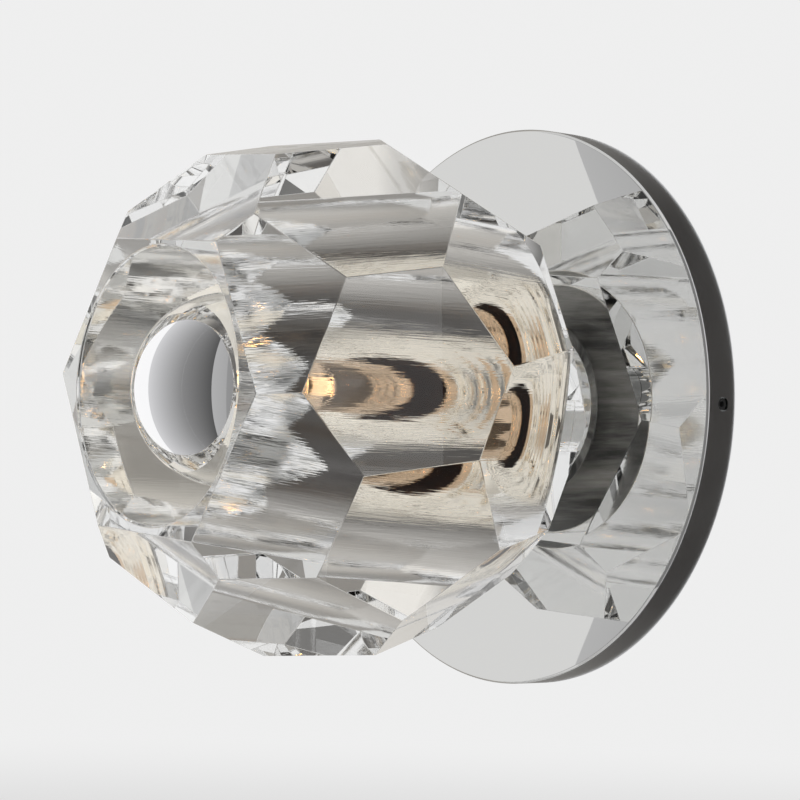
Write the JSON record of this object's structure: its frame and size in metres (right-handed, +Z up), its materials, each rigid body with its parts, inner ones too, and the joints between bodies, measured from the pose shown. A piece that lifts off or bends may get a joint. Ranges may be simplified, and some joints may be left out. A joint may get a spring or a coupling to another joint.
{
  "type": "crystal wall sconce",
  "caption": "Wall light: a faceted crystal ball on a round mirror-polished back plate, with a globe lamp with a silvered crown set in the ball's deep front bore.",
  "frame": {"origin": "middle of the wall bracket's back face, on the wall and on the back plate's axis", "axes": "+Z up, -Y out of the wall into the room, +X to the right of a person who faces the wall"},
  "size_m": [0.1524, 0.1291, 0.1524],
  "materials": {
    "plate_mirror": "mirror polished",
    "polished_metal": "polished",
    "crystal": "clear, ground and polished facets",
    "lamp_glass": "clear blown glass",
    "silvering": "silvered",
    "stem_glass": "clear drawn glass",
    "black_glass": "black vitrified glass",
    "lamp_metal": "rolled brass",
    "solder": "dull solder",
    "wire": "drawn wire",
    "filament": "glowing coil",
    "ceramic": "glazed white",
    "black_plastic": "moulded, satin",
    "white_plastic": "moulded nylon",
    "clear_pad": "translucent silicone",
    "brass": "machined",
    "zinc_steel": "zinc plated",
    "dark_steel": "black, matt",
    "brown_sleeving": "silicone insulation",
    "blue_sleeving": "silicone insulation",
    "green_sleeving": "silicone insulation"
  },
  "bodies": {
    "fixture": {"back_plate": "plate_mirror", "collar": "polished_metal", "crystal_ball": "crystal", "crystal_bush": "white_plastic", "collar_pad": "clear_pad", "bore_floor_pad": "clear_pad", "threaded_tube": "zinc_steel", "tube_nuts": "zinc_steel", "tube_washers": "zinc_steel", "base_plate": "dark_steel", "bezel_ring": "polished_metal", "bezel_screws": "polished_metal", "lampholder_cap": "black_plastic", "lampholder_body": "ceramic", "lampholder_shell": "brass", "lampholder_tongue": "brass", "lampholder_posts": "brass", "lamp_sleeve": "polished_metal", "wall_bracket": "zinc_steel", "terminal_block": "white_plastic", "terminal_ways": "brass", "terminal_screws": "zinc_steel", "terminal_block_screws": "zinc_steel", "earth_screw": "brass", "earth_washer": "brass", "live_lead": "brown_sleeving", "neutral_lead": "blue_sleeving", "earth_lead": "green_sleeving"},
    "lamp": {"lamp_globe": "lamp_glass", "lamp_crown": "silvering", "lamp_stem": "stem_glass", "lamp_wires": "wire", "lamp_filament": "filament", "lamp_screw_shell": "lamp_metal", "lamp_insulator": "black_glass", "lamp_tip": "solder"},
    "rim_screw_right_body": {"rim_screw_right": "dark_steel"},
    "rim_screw_left_body": {"rim_screw_left": "dark_steel"}
  },
  "joints": [
    {"name": "lamp_out", "type": "slide", "parent": "fixture", "child": "lamp", "axis": [0, -1, 0], "range_m": [0, 0.085]},
    {"name": "rim_screw_right_out", "type": "slide", "parent": "fixture", "child": "rim_screw_right_body", "axis": [1, 0, 0], "range_m": [0, 0.008]},
    {"name": "rim_screw_left_out", "type": "slide", "parent": "fixture", "child": "rim_screw_left_body", "axis": [-1, 0, 0], "range_m": [0, 0.008]}
  ]
}
